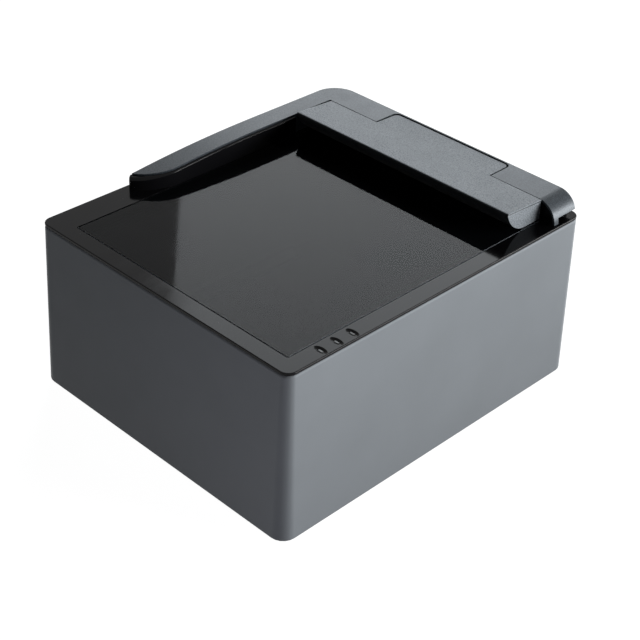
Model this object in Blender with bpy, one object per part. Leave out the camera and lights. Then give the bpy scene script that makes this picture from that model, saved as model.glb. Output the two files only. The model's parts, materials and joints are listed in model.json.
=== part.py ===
"""Passport reader for a counter: a drafted case, a glossy top cover with a reading
window and an L-shaped guide, and a sprung press flap that lifts at its nose.
X runs across the operator's side, Y towards the back, Z up.  The origin is on the
table under the middle of the case."""
import bpy
import bmesh
from math import acos, atan2, cos, pi, radians, sin, sqrt, tan
from mathutils import Matrix

mm = 0.001

# The case as a whole
case_width = 152.0 * mm          # across, at the top edge
case_depth = 180.6 * mm          # front to back, at the top edge
case_height = 81.7 * mm          # bottom edge of the housing to the cover's surface
case_corner = 4.5 * mm           # plan radius of the upright edges
case_draft = radians(1.5)        # each side leans in by this much
foot_height = 1.5 * mm
wall = 2.5 * mm
plate_thickness = 2.5 * mm       # of the base plate
seat_gap = 0.3 * mm              # left between any two pieces that sit together
overrun = 1.0 * mm               # how far a cutter reaches past what it cuts
least_corner = 0.5 * mm          # no plan corner is sharper
corner_steps = 5
half_width = case_width / 2
half_depth = case_depth / 2

# The reading window: the opening in the cover
side_strip = 8.5 * mm            # cover left to the right of the window
front_strip = 8.1 * mm           # and in front of it
window_corner = 1.0 * mm
glass_thickness = 3.0 * mm
glass_sunk = 0.1 * mm
glass_chamfer = 0.4 * mm
seal_thickness = 0.6 * mm
seal_width = 1.8 * mm
ledge_width = 2.4 * mm
ledge_thickness = 1.6 * mm
skirt_wall = 1.8 * mm

# The top edge of the case
cover_edge = 1.2 * mm            # edge of the cover that shows above the housing
cover_round = 0.4 * mm
housing_round = 1.0 * mm
flange_thickness = 3.0 * mm

# The guide: an L of two arms standing on the cover
guide_inset = 2.3 * mm           # from the cover's edge to the guide's left and back faces
guide_end_inset = 1.3 * mm       # and to its right end
guide_height = 10.05 * mm
left_arm_width = 10.6 * mm
back_arm_depth = 15.2 * mm
fence_stand = 1.4 * mm           # from the left arm's inner edge to the fence's face
guide_corner = 12.0 * mm
guide_end_corner = 1.5 * mm
guide_shell = 1.8 * mm
guide_rim = 1.0 * mm             # thinner round the cover's back fence
arm_level_run = 42.8 * mm        # the left arm's level stretch, from the back arm
arm_slope_radius = 714.0 * mm    # then it follows this arc down to its tip
arm_steps = 10
sweep_inset = 66.8 * mm          # from the case's front edge to where the arm narrows
sweep_radius = 21.0 * mm
end_round = 10.0 * mm            # quarter round that closes the back arm
end_notch_height = 3.1 * mm
end_notch_leg = 2.8 * mm
guide_side = half_width - guide_inset
guide_end = half_width - guide_end_inset
guide_back = half_depth - guide_inset
guide_inner = guide_side - left_arm_width
back_arm_front = guide_back - back_arm_depth
arm_level_end = back_arm_front - arm_level_run
sweep_start = half_depth - sweep_inset
window_left = guide_inner - fence_stand
window_right = half_width - side_strip
window_front = half_depth - front_strip

# The press flap
flap_left_gap = 1.5 * mm         # from the left arm's inner edge to the flap's end
flap_right_inset = 9.4 * mm      # from the case's right edge to the flap's other end
flap_reach = 23.8 * mm           # from the back arm to the flap's nose
flap_back_gap = 0.6 * mm
flap_top_slope = radians(3.8)
flap_nose_height = 11.75 * mm    # top of the nose above the cover
flap_lip_height = 10.4 * mm      # where the nose's underside meets its front
flap_belly_run = 13.6 * mm       # from the nose to where the underside is level
flap_lip_lean = radians(65.0)    # slope of the underside where it meets the lip
flap_under = 0.6 * mm            # underside above the cover
flap_edge_round = 0.6 * mm
flap_wall = 2.0 * mm
tongue_left_step = 30.0 * mm     # from the flap's left end to the tongue's side
tongue_right_step = 29.8 * mm
tongue_back_inset = 1.4 * mm     # from the guide's back to the tongue's end
tongue_slope = radians(2.0)
tongue_thickness = 4.2 * mm
tongue_side_gap = 0.9 * mm
tongue_back_gap = 0.7 * mm
tongue_corner = 2.4 * mm
flap_left = guide_inner - flap_left_gap
flap_right = half_width - flap_right_inset
flap_front = back_arm_front - flap_reach
flap_belly_start = flap_front + flap_belly_run
tongue_left = flap_left - tongue_left_step
tongue_right = flap_right - tongue_right_step
tongue_back = guide_back - tongue_back_inset

# The hinge
hinge_behind = 7.6 * mm          # axis behind the back arm's front face
hinge_above = 7.8 * mm           # and above the cover
pin_radius = 1.0 * mm
pin_grip = 4.0 * mm              # length held in each cheek
pin_end_room = 0.5 * mm
running_gap = 0.1 * mm
cheek_width = 6.0 * mm
well_floor = 1.5 * mm            # floor of the flap's well above the cover
hinge_back = back_arm_front + hinge_behind

# Heights that the pieces share
housing_top = foot_height + case_height - cover_edge - seat_gap
flange_under = housing_top - flange_thickness
cover_top = foot_height + case_height
cover_under = cover_top - cover_edge
plate_top = foot_height + plate_thickness
glass_top = cover_top - glass_sunk
glass_under = glass_top - glass_thickness
seal_top = glass_under - seat_gap
ledge_top = seal_top - seal_thickness - seat_gap
skirt_under = ledge_top - ledge_thickness
guide_top = cover_top + guide_height
guide_under = cover_top + seat_gap


def lean(z):
    """How far the case stands out past its top outline at height z."""
    return (housing_top - z) * tan(case_draft)


def clear_scene():
    for old in list(bpy.data.objects):
        bpy.data.objects.remove(old, do_unlink=True)


def finish(name, colour, roughness, metallic=0.0):
    made = bpy.data.materials.new(name)
    made.use_nodes = True
    shader = made.node_tree.nodes["Principled BSDF"]
    shader.inputs["Base Color"].default_value = (*colour, 1.0)
    shader.inputs["Roughness"].default_value = roughness
    shader.inputs["Metallic"].default_value = metallic
    return made


def add(name, mesh, coat=None):
    """Turn a bmesh into a named object; one without a coat is only a cutter."""
    bmesh.ops.recalc_face_normals(mesh, faces=mesh.faces)
    data = bpy.data.meshes.new(name)
    mesh.to_mesh(data)
    mesh.free()
    made = bpy.data.objects.new(name, data)
    bpy.context.scene.collection.objects.link(made)
    if coat:
        data.materials.append(coat)
        data.shade_smooth()
        data.set_sharp_from_angle(angle=radians(35.0))
    else:
        made.hide_render = True
        made.display_type = "WIRE"
    return made


def work(body, operation, tool):
    """Work a hidden shape into a body: DIFFERENCE, UNION or INTERSECT."""
    step = body.modifiers.new(tool.name, "BOOLEAN")
    step.operation = operation
    step.solver = "EXACT"
    step.object = tool
    return tool


def cut(body, name, mesh):
    return work(body, "DIFFERENCE", add(name, mesh))


def fuse(body, name, mesh):
    return work(body, "UNION", add(name, mesh))


def keep(body, name, mesh):
    return work(body, "INTERSECT", add(name, mesh))


def arc(centre, radius, start, end, steps=corner_steps):
    """Points of an arc, both ends included."""
    turn = (end - start) / steps
    return [(centre[0] + radius * cos(start + turn * i),
             centre[1] + radius * sin(start + turn * i)) for i in range(steps + 1)]


def ring(centre, radius, steps):
    """Points of a full circle."""
    return arc(centre, radius, 0, 2 * pi, steps)[:-1]


def bend(start, middle, end, steps=corner_steps):
    """Points of a smooth bend from start to end that leans towards middle."""
    parts = [i / steps for i in range(steps + 1)]
    return [tuple((1 - s) ** 2 * a + 2 * s * (1 - s) * b + s ** 2 * c
                  for a, b, c in zip(start, middle, end)) for s in parts]


def rounded(left, right, front, back, radius):
    """A rounded rectangle, counter-clockwise from its front left corner."""
    return (arc((left + radius, front + radius), radius, pi, 1.5 * pi)
            + arc((right - radius, front + radius), radius, 1.5 * pi, 2 * pi)
            + arc((right - radius, back - radius), radius, 0, 0.5 * pi)
            + arc((left + radius, back - radius), radius, 0.5 * pi, pi))


def oblong(centre, length, width, steps=4):
    """A slot outline with round ends, lying along X."""
    x, y = centre
    radius = width / 2
    run = (length - width) / 2
    return (arc((x + run, y), radius, -pi / 2, pi / 2, steps)
            + arc((x - run, y), radius, pi / 2, 1.5 * pi, steps))


def case_outline(grow):
    """The case's plan outline, moved out by grow (in, if negative)."""
    return rounded(-half_width - grow, half_width + grow, -half_depth - grow,
                   half_depth + grow, max(case_corner + grow, least_corner))


def window_outline(grow):
    return rounded(-window_left - grow, window_right + grow, -window_front - grow,
                   back_arm_front + grow, max(window_corner + grow, least_corner))


def skin(mesh, rows, closed=False):
    """Faces between equal rows of corners; an open run is capped at its ends."""
    count = len(rows[0])
    following = rows[1:] + rows[:1] if closed else rows[1:]
    for lower, upper in zip(rows, following):
        for i in range(count):
            j = (i + 1) % count
            mesh.faces.new((lower[i], lower[j], upper[j], upper[i]))
    if not closed:
        mesh.faces.new(list(reversed(rows[0])))
        mesh.faces.new(rows[-1])


def loft(rings, closed=False):
    """Skin a run of (outline, z) rings; a closed run joins its last to its first."""
    mesh = bmesh.new()
    rows = [[mesh.verts.new((x, y, z)) for x, y in outline] for outline, z in rings]
    skin(mesh, rows, closed)
    return mesh


def slab(outline, low, high):
    return loft([(outline, low), (outline, high)])


def rim(outline_at, top, radius, steps=3):
    """Rings of a rounded top edge; outline_at gives the outline moved in."""
    turn = 0.5 * pi / steps
    return [(outline_at(radius * (1 - cos(turn * i))), top - radius * (1 - sin(turn * i)))
            for i in range(steps + 1)]


def box(low, high):
    corners = [(low[0], low[1]), (high[0], low[1]), (high[0], high[1]), (low[0], high[1])]
    return slab(corners, low[2], high[2])


def together(meshes):
    """Several separate shapes in one mesh."""
    whole = bmesh.new()
    for mesh in meshes:
        data = bpy.data.meshes.new("shape")
        mesh.to_mesh(data)
        mesh.free()
        whole.from_mesh(data)
        bpy.data.meshes.remove(data)
    return whole


def extrude(points, travel):
    mesh = bmesh.new()
    face = mesh.faces.new([mesh.verts.new(point) for point in points])
    pushed = bmesh.ops.extrude_face_region(mesh, geom=[face])
    far = [item for item in pushed["geom"] if isinstance(item, bmesh.types.BMVert)]
    bmesh.ops.translate(mesh, verts=far, vec=travel)
    return mesh


def along_x(profile, left, right):
    """Extrude a profile of (y, z) points from left to right."""
    return extrude([(left, y, z) for y, z in profile], (right - left, 0, 0))


def along_y(profile, front, back):
    """Extrude a profile of (x, z) points from front to back."""
    return extrude([(x, front, z) for x, z in profile], (0, back - front, 0))


def rod(place, radius, low, high, steps=16):
    """An upright round bar."""
    return slab(ring(place, radius, steps), low, high)


def turned(profile, steps=16, closed=False):
    """Spin a profile of (radius, z) points about Z; a closed one is a loop."""
    mesh = bmesh.new()
    line = [mesh.verts.new((radius, 0, z)) for radius, z in profile]
    following = line[1:] + line[:1] if closed else line[1:]
    edges = [mesh.edges.new(pair) for pair in zip(line, following)]
    bmesh.ops.spin(mesh, geom=line + edges, cent=(0, 0, 0), axis=(0, 0, 1), angle=2 * pi,
                   steps=steps, use_merge=True)
    bmesh.ops.remove_doubles(mesh, verts=mesh.verts, dist=seat_gap / 100)
    return mesh


def moved(mesh, x, y, z=0):
    bmesh.ops.translate(mesh, verts=mesh.verts, vec=(x, y, z))
    return mesh


# Screws: their sizes and their places
shank_radius = 1.25 * mm
shank_gap = 0.3 * mm             # round a shank that passes through
bite_gap = 0.1 * mm              # round a shank that a boss holds
flat_head_radius = 2.6 * mm
flat_head_depth = 1.3 * mm
pan_head_radius = 2.4 * mm
pan_head_height = 1.6 * mm
pan_crown_share = 0.7
cross_width = 0.7 * mm
cross_length = 2.8 * mm
cross_depth = 0.8 * mm
base_boss_radius = 4.0 * mm
base_boss_height = 14.0 * mm
base_boss_inset = 5.2 * mm       # from the inner wall's face to the boss's axis
base_boss_end_inset = 20.3 * mm  # from the case's front or back edge to the axis
base_screw_length = 12.0 * mm
guide_boss_radius = 3.0 * mm
guide_screw_side_inset = 5.4 * mm
guide_screw_back_inset = 6.4 * mm
guide_screw_arm_shares = (0.077, 0.608)   # along the left arm, from its sweep
guide_screw_left_step = 19.5 * mm         # out from the tongue's left side
guide_screw_right_step = 17.0 * mm        # and from its right side
guide_screw_length = 11.0 * mm


def base_screw_places():
    side = half_width - wall + lean(plate_top) - base_boss_inset
    end = half_depth - base_boss_end_inset
    return [(sx * side, sy * end) for sx in (-1, 1) for sy in (-1, 1)]


def along_arm(share):
    """Place on the left arm, from its sweep (0) to the back arm (1)."""
    return -sweep_start + share * (back_arm_front + sweep_start)


def guide_screw_places():
    behind = guide_back - guide_screw_back_inset
    side = guide_screw_side_inset - guide_side
    return ([(side, along_arm(share)) for share in guide_screw_arm_shares]
            + [(-tongue_left - guide_screw_left_step, behind),
               (tongue_right + guide_screw_right_step, behind)])


def make_screw(name, place, head_z, points_up, length, coat, flat_head=False):
    """A cross-head screw whose head's outer face lies at head_z."""
    if flat_head:
        profile = [(0, 0), (flat_head_radius, 0), (shank_radius, flat_head_depth)]
    else:
        profile = [(0, 0), (pan_head_radius * pan_crown_share, 0),
                   (pan_head_radius, pan_head_height / 2),
                   (pan_head_radius, pan_head_height), (shank_radius, pan_head_height)]
    profile += [(shank_radius, length - shank_radius), (shank_radius / 2, length), (0, length)]
    screw = add(name, turned(profile, steps=12), coat)
    for turn, mark in ((0, "bar"), (pi / 2, "cross")):
        bar = cut(screw, "%s_%s" % (name, mark),
                  box((-cross_length / 2, -cross_width / 2, -overrun),
                      (cross_length / 2, cross_width / 2, cross_depth)))
        bar.rotation_euler = (0, 0, turn)
        bar.parent = screw
    screw.location = (*place, head_z)
    screw.rotation_euler = (0 if points_up else pi, 0, 0)
    return screw


def screw_sink(place, low, high):
    """The hole that a flat-headed screw takes through a plate, from below."""
    wide = flat_head_radius + shank_gap
    narrow = shank_radius + shank_gap
    profile = [(0, low - overrun), (wide, low - overrun), (wide, low),
               (narrow, low + flat_head_depth), (narrow, high + overrun), (0, high + overrun)]
    return moved(turned(profile, steps=12), *place)


# Indicators: three small lenses in oval dimples at the cover's front right
indicator_side_inset = 4.0 * mm  # from the case's right edge
indicator_front_inset = 21.3 * mm
indicator_pitch = 8.75 * mm
indicator_count = 3
dimple_length = 6.8 * mm
dimple_width = 3.4 * mm
dimple_depth = 0.7 * mm
lens_length = 3.0 * mm
lens_width = 1.3 * mm
lens_gap = 0.15 * mm
lens_proud = 0.25 * mm
lens_foot_length = 4.0 * mm
lens_foot_width = 2.2 * mm
lens_foot_height = 0.5 * mm
lens_crown = 0.2 * mm
lamp_board_width = 4.1 * mm
lamp_board_thickness = 1.0 * mm
lamp_board_end = 4.0 * mm        # board left past the end lenses
indicator_column = half_width - indicator_side_inset
indicator_first = half_depth - indicator_front_inset


def indicator_places():
    return [(indicator_column, -indicator_first + indicator_pitch * i)
            for i in range(indicator_count)]


lens_foot_under = cover_under - seat_gap - lens_foot_height
lamp_board_top = lens_foot_under - seat_gap
lamp_board_under = lamp_board_top - lamp_board_thickness
lamp_board_front = -indicator_first - lamp_board_end
lamp_board_back = indicator_places()[-1][1] + lamp_board_end


def make_indicators(lens_coat, board_coat):
    stem_top = cover_top - dimple_depth + lens_proud - lens_foot_under
    for i, place in enumerate(indicator_places()):
        foot = oblong((0, 0), lens_foot_length, lens_foot_width)
        stem = oblong((0, 0), lens_length, lens_width)
        crown = oblong((0, 0), lens_length - 2 * lens_crown, lens_width - 2 * lens_crown)
        lens = add("indicator_lens_%d" % (i + 1),
                   loft([(foot, 0), (foot, lens_foot_height), (stem, lens_foot_height),
                         (stem, stem_top - lens_crown), (crown, stem_top)]), lens_coat)
        lens.location = (*place, lens_foot_under)
    side = lamp_board_width / 2
    add("indicator_board",
        slab(rounded(indicator_column - side, indicator_column + side, lamp_board_front,
                     lamp_board_back, least_corner), lamp_board_under, lamp_board_top),
        board_coat)


# Connectors in the back wall, and the main board that carries them
usb_edge_inset = 20.0 * mm       # from the board's left edge to the socket's middle
usb_width = 12.0 * mm
usb_height = 10.8 * mm
usb_depth = 16.0 * mm
usb_shell = 0.8 * mm
usb_mouth_depth = 9.0 * mm
usb_tongue_width = 5.6 * mm
usb_tongue_height = 3.2 * mm
usb_shoulder = 2.0 * mm
jack_place = 2.0 * mm            # right of the middle
jack_width = 9.0 * mm
jack_height = 11.0 * mm
jack_depth = 14.0 * mm
jack_bore = 3.2 * mm
jack_pin = 1.0 * mm
jack_mouth_depth = 9.0 * mm
socket_gap = 0.5 * mm
socket_sunk = 0.8 * mm
board_stand = 5.0 * mm
board_thickness = 1.6 * mm
board_leg_gap = 7.7 * mm         # from the left legs' axis to the board's edge
board_depth = 64.0 * mm
board_back_room = 2.4 * mm       # from the inner wall to the board's back edge
board_hole_inset = 4.5 * mm
board_corner = 2.0 * mm
board_screw_length = 7.0 * mm
post_radius = 3.0 * mm
board_under = plate_top + board_stand
board_top = board_under + board_thickness
board_back = half_depth - wall - board_back_room
board_front = board_back - board_depth
socket_floor = board_top + seat_gap


def socket_back(height):
    """Outer face of a connector whose middle is at this height."""
    return half_depth + lean(height) - socket_sunk


def board_side():
    """Half the board's width: it lies between the chassis's legs."""
    return window_left - chassis_narrowing - leg_inset - board_leg_gap


def board_post_places():
    side = board_side() - board_hole_inset
    return [(sx * side, y) for sx in (-1, 1)
            for y in (board_front + board_hole_inset, board_back - board_hole_inset)]


def usb_middle():
    return usb_edge_inset - board_side()


def usb_outline(inset):
    """The socket's end outline with its two sloped shoulders, moved in by inset."""
    place = usb_middle()
    half = usb_width / 2 - inset
    low = socket_floor + inset
    high = socket_floor + usb_height - inset
    return [(place - half, low), (place + half, low),
            (place + half, high - usb_shoulder), (place + half - usb_shoulder, high),
            (place - half + usb_shoulder, high), (place - half, high - usb_shoulder)]


def make_main_board(board_coat, metal):
    board = add("main_board",
                slab(rounded(-board_side(), board_side(), board_front, board_back,
                             board_corner), board_under, board_top), board_coat)
    cut(board, "main_board_holes",
        together([rod(place, shank_radius + shank_gap, board_under - overrun,
                      board_top + overrun, 12) for place in board_post_places()]))
    for i, place in enumerate(board_post_places()):
        make_screw("board_screw_%d" % (i + 1), place, board_top + seat_gap + pan_head_height,
                   False, board_screw_length, metal)


def make_sockets(metal, dark):
    middle = socket_floor + usb_height / 2
    back = socket_back(middle)
    usb = add("usb_socket", along_y(usb_outline(0), back - usb_depth, back), metal)
    cut(usb, "usb_mouth", along_y(usb_outline(usb_shell), back - usb_mouth_depth, back + overrun))
    place = usb_middle()
    fuse(usb, "usb_tongue",
         box((place - usb_tongue_width / 2, back - usb_mouth_depth - overrun,
              middle - usb_tongue_height / 2),
             (place + usb_tongue_width / 2, back - overrun,
              middle + usb_tongue_height / 2)))

    centre = (jack_place, socket_floor + jack_height / 2)
    back = socket_back(centre[1])
    outline = rounded(jack_place - jack_width / 2, jack_place + jack_width / 2,
                      socket_floor, socket_floor + jack_height, least_corner)
    jack = add("power_jack", along_y(outline, back - jack_depth, back), dark)
    cut(jack, "jack_mouth",
        along_y(ring(centre, jack_bore, 16), back - jack_mouth_depth, back + overrun))
    fuse(jack, "jack_pin",
         along_y(ring(centre, jack_pin, 12), back - jack_mouth_depth - overrun, back - overrun))


# Parts on the main board that stand by themselves
chip_side = 20.0 * mm
chip_height = 1.8 * mm
chip_chamfer = 0.4 * mm
chip_left_step = 6.0 * mm        # left of the board's middle
chip_behind = 26.6 * mm          # its middle, from the board's front edge
buzzer_radius = 6.0 * mm
buzzer_height = 7.5 * mm
buzzer_hole = 1.2 * mm
buzzer_hole_depth = 2.0 * mm
buzzer_side_inset = 14.0 * mm    # from the board's right edge
buzzer_back_inset = 19.4 * mm


def make_board_parts(dark):
    x, y = -chip_left_step, board_front + chip_behind
    half = chip_side / 2
    full = rounded(x - half, x + half, y - half, y + half, least_corner)
    half -= chip_chamfer
    small = rounded(x - half, x + half, y - half, y + half, least_corner)
    add("processor",
        loft([(full, socket_floor), (full, socket_floor + chip_height - chip_chamfer),
              (small, socket_floor + chip_height)]), dark)
    floor = buzzer_height - buzzer_hole_depth
    profile = [(0, 0), (buzzer_radius, 0), (buzzer_radius, buzzer_height - buzzer_hole / 2),
               (buzzer_radius - buzzer_hole / 2, buzzer_height), (buzzer_hole, buzzer_height),
               (buzzer_hole, floor), (0, floor)]
    buzzer = add("buzzer", turned(profile), dark)
    buzzer.location = (board_side() - buzzer_side_inset, board_back - buzzer_back_inset,
                       socket_floor)


# Housing: drafted sides, a flange inside the top edge, screw bosses, connector cut-outs
def make_housing(coat):
    opening = window_outline(skirt_wall + seat_gap)
    rings = [(case_outline(lean(foot_height)), foot_height)]
    rings += rim(lambda inset: case_outline(-inset), housing_top, housing_round)
    rings += [(opening, housing_top),
              (opening, flange_under),
              (case_outline(lean(flange_under) - wall), flange_under),
              (case_outline(lean(foot_height) - wall), foot_height)]
    body = add("housing", loft(rings, closed=True), coat)

    low = plate_top + seat_gap
    high = low + base_boss_height
    fuse(body, "housing_bosses",
         together([rod(place, base_boss_radius, low, high) for place in base_screw_places()]))
    webs = []
    for x, y in base_screw_places():
        out = x + (base_boss_inset + wall / 2) * (1 if x > 0 else -1)
        webs.append(box((min(x, out), y - wall / 2, low), (max(x, out), y + wall / 2, high)))
    fuse(body, "housing_webs", together(webs))

    holes = [rod(place, shank_radius + bite_gap, low - overrun, high - wall, 12)
             for place in base_screw_places()]
    holes += [rod(place, shank_radius + shank_gap, flange_under - overrun, cover_top, 12)
              for place in guide_screw_places()]
    back = half_depth + lean(foot_height)
    for place, width, height in ((usb_middle(), usb_width, usb_height),
                                 (jack_place, jack_width, jack_height)):
        side = width / 2 + socket_gap
        holes.append(box((place - side, back - 2 * wall, socket_floor - socket_gap),
                         (place + side, back + overrun, socket_floor + height + socket_gap)))
    holes.append(box((window_right + skirt_wall, lamp_board_front - seat_gap,
                      lamp_board_under - seat_gap),
                     (indicator_column + lamp_board_width / 2 + seat_gap,
                      lamp_board_back + seat_gap, cover_top)))
    cut(body, "housing_holes", together(holes))


# Base plate: feet recesses, posts for the main board, vent slots, a rib near its edge
foot_radius = 7.5 * mm
foot_recess = 1.0 * mm
foot_inset = 16.0 * mm
foot_chamfer = 0.5 * mm
rib_height = 3.0 * mm
rib_width = 1.6 * mm
vent_width = 2.2 * mm
vent_length = 26.0 * mm
vent_pitch = 6.0 * mm
vent_count = 6
vent_group = 27.0 * mm           # middle of each group, front and back


def foot_places():
    x = half_width - foot_inset
    y = half_depth - foot_inset
    return [(sx * x, sy * y) for sx in (-1, 1) for sy in (-1, 1)]


def make_base_plate(coat):
    edge = lean(foot_height) - wall - seat_gap
    body = add("base_plate", slab(case_outline(edge), foot_height, plate_top), coat)
    outer = case_outline(edge - rib_width)
    inner = case_outline(edge - 2 * rib_width)
    low = plate_top - seat_gap
    high = plate_top + rib_height
    rib = add("base_rib", loft([(outer, low), (outer, high), (inner, high), (inner, low)],
                               closed=True))
    reach = base_boss_radius + 2 * seat_gap
    cut(rib, "base_rib_gaps",
        together([box((x - 2 * reach, y - reach, foot_height),
                      (x + 2 * reach, y + reach, high + overrun))
                  for x, y in base_screw_places()]))
    work(body, "UNION", rib)
    fuse(body, "base_posts",
         together([rod(place, post_radius, low, board_under - seat_gap)
                   for place in board_post_places()]))

    holes = [rod(place, foot_radius + seat_gap, foot_height - overrun,
                 foot_height + foot_recess, 20) for place in foot_places()]
    holes += [rod(place, shank_radius + bite_gap, plate_top, board_under + overrun, 12)
              for place in board_post_places()]
    for group in (-vent_group, vent_group):
        for i in range(vent_count):
            y = group + vent_pitch * (i - (vent_count - 1) / 2)
            holes.append(slab(oblong((0, y), vent_length, vent_width, 3),
                              foot_height - overrun, plate_top + overrun))
    holes += [screw_sink(place, foot_height, plate_top)
              for place in base_screw_places() + chassis_leg_places()]
    cut(body, "base_holes", together(holes))


def make_feet(coat):
    top = foot_height + foot_recess - seat_gap
    profile = [(0, 0), (foot_radius - foot_chamfer, 0), (foot_radius, foot_chamfer),
               (foot_radius, top), (0, top)]
    for i, place in enumerate(foot_places()):
        foot = add("foot_%d" % (i + 1), turned(profile, steps=20), coat)
        foot.location = (*place, 0)


# Optical chassis: a black tapered cup under the window, standing on four legs
chassis_wall = 2.0 * mm
chassis_floor = 24.0 * mm        # underside of its floor above the table
chassis_narrowing = 6.0 * mm     # how far the cup draws in, left and right
chassis_narrowing_depth = 16.0 * mm
chassis_rim = 2.0 * mm
leg_radius = 3.5 * mm
leg_inset = 4.0 * mm
leg_screw_length = 9.0 * mm
lens_hole = 8.0 * mm
antenna_thickness = 1.2 * mm
antenna_top = skirt_under - seat_gap
chassis_top = antenna_top - antenna_thickness - seat_gap
window_middle = ((window_right - window_left) / 2, (back_arm_front - window_front) / 2)


def cup_outline(inset):
    """Plan outline of the cup's floor, moved in by inset."""
    return rounded(-window_left + chassis_narrowing + inset,
                   window_right - chassis_narrowing - inset,
                   -window_front + chassis_narrowing_depth + inset,
                   back_arm_front - chassis_narrowing_depth - inset, leg_radius)


def chassis_leg_places():
    left = -window_left + chassis_narrowing + leg_inset
    right = window_right - chassis_narrowing - leg_inset
    front = -window_front + chassis_narrowing_depth + leg_inset
    back = back_arm_front - chassis_narrowing_depth - leg_inset
    return [(left, front), (right, front), (left, back), (right, back)]


def make_chassis(coat, metal):
    inside = ledge_width + chassis_wall / 2
    body = add("optical_chassis",
               loft([(cup_outline(0), chassis_floor),
                     (window_outline(chassis_wall - inside), chassis_top - chassis_rim),
                     (window_outline(skirt_wall), chassis_top - chassis_rim),
                     (window_outline(skirt_wall), chassis_top),
                     (window_outline(-inside), chassis_top),
                     (cup_outline(chassis_wall), chassis_floor + chassis_wall)]), coat)
    sunk = chassis_floor + chassis_wall / 2
    fuse(body, "chassis_legs",
         together([rod(place, leg_radius, plate_top + seat_gap, sunk)
                   for place in chassis_leg_places()]))
    fuse(body, "chassis_camera_posts",
         together([rod(place, camera_post_radius, camera_board_top + seat_gap, sunk, 12)
                   for place in camera_post_places()]))
    holes = [rod(window_middle, lens_hole, chassis_floor - overrun,
                 chassis_floor + chassis_wall + overrun, 20)]
    holes += [rod(place, shank_radius + bite_gap, plate_top, chassis_floor - chassis_wall, 12)
              for place in chassis_leg_places()]
    cut(body, "chassis_holes", together(holes))
    for i, place in enumerate(chassis_leg_places()):
        make_screw("chassis_screw_%d" % (i + 1), place, foot_height, True, leg_screw_length,
                   metal, flat_head=True)


def make_antenna(coat):
    under = antenna_top - antenna_thickness
    outer = window_outline(skirt_wall)
    inner = window_outline(-ledge_width)
    add("rfid_antenna", loft([(outer, under), (outer, antenna_top), (inner, antenna_top),
                              (inner, under)], closed=True), coat)


# Camera: a small board under the cup's floor with its lens standing through it
camera_board_side = 32.0 * mm
camera_board_drop = 5.0 * mm     # from the cup's floor down to the board
camera_post_radius = 2.4 * mm
camera_post_inset = 3.5 * mm
holder_radius = 7.2 * mm
holder_height = 13.0 * mm
holder_bore = 4.6 * mm
lens_seat = 6.0 * mm             # radius of the step that the lens sits on
lens_seat_depth = 5.0 * mm
lens_rim = 1.4 * mm
lens_bulge = 0.9 * mm
camera_board_top = chassis_floor - camera_board_drop


def camera_post_places():
    x, y = window_middle
    reach = camera_board_side / 2 - camera_post_inset
    return [(x + sx * reach, y + sy * reach) for sx in (-1, 1) for sy in (-1, 1)]


def make_camera(board_coat, dark, glass):
    x, y = window_middle
    half = camera_board_side / 2
    add("camera_board", slab(rounded(x - half, x + half, y - half, y + half, board_corner),
                             camera_board_top - board_thickness, camera_board_top), board_coat)
    step = holder_height - lens_seat_depth
    profile = [(holder_bore, 0), (holder_radius, 0), (holder_radius, holder_height),
               (lens_seat, holder_height), (lens_seat, step), (holder_bore, step)]
    holder = add("lens_holder", turned(profile, steps=20, closed=True), dark)
    holder.location = (x, y, camera_board_top + seat_gap)
    edge = lens_seat - seat_gap
    low = lens_bulge / 2
    high = low + lens_rim
    profile = [(0, 0), (edge / 2, low / 4), (edge, low), (edge, high),
               (edge / 2, high + low * 3 / 4), (0, high + low)]
    lens = add("camera_lens", turned(profile), glass)
    lens.location = (x, y, camera_board_top + 2 * seat_gap + step)


# Lighting: a strip board and a half-round diffuser on each side of the cup's floor
strip_width = 8.0 * mm
strip_inset = 1.0 * mm
strip_end_room = 17.3 * mm       # from the cup's floor's end to the strip
diffuser_radius = 3.4 * mm
diffuser_end = 3.0 * mm          # strip left past the diffuser


def make_lighting(board_coat, diffuser_coat):
    low = chassis_floor + chassis_wall + seat_gap
    seat = low + board_thickness + seat_gap
    middle = window_middle[1]
    reach = chassis_narrowing + chassis_wall + strip_inset + strip_width / 2
    back = (window_front + back_arm_front) / 2 - chassis_narrowing_depth - strip_end_room
    diffuser_back = back - diffuser_end
    for side, x in (("left", -window_left + reach), ("right", window_right - reach)):
        add("light_board_" + side,
            slab(rounded(x - strip_width / 2, x + strip_width / 2, middle - back,
                         middle + back, least_corner), low, low + board_thickness),
            board_coat)
        add("light_diffuser_" + side,
            along_y(arc((x, seat), diffuser_radius, 0, pi, 10), middle - diffuser_back,
                    middle + diffuser_back), diffuser_coat)


# Flat cable from the camera's board down to the main board
cable_width = 12.0 * mm
cable_thickness = 0.4 * mm
cable_start = 4.0 * mm           # behind the camera's middle
cable_landing = 9.0 * mm         # length that lies on each board
cable_steps = 14


def make_cable(coat):
    start = window_middle[1] + cable_start
    high = camera_board_top - board_thickness - seat_gap - cable_thickness
    fall_start = start + cable_landing
    fall_end = board_front + board_hole_inset - post_radius
    parts = [i / cable_steps for i in range(cable_steps + 1)]
    curve = [(start, high)]
    curve += [(fall_start + (fall_end - fall_start) * e,
               high + (socket_floor - high) * e * e * (3 - 2 * e)) for e in parts]
    curve += [(fall_end + cable_landing, socket_floor)]
    profile = curve + [(y, z + cable_thickness) for y, z in reversed(curve)]
    x = window_middle[0]
    add("flex_cable", along_x(profile, x - cable_width / 2, x + cable_width / 2), coat)


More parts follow.
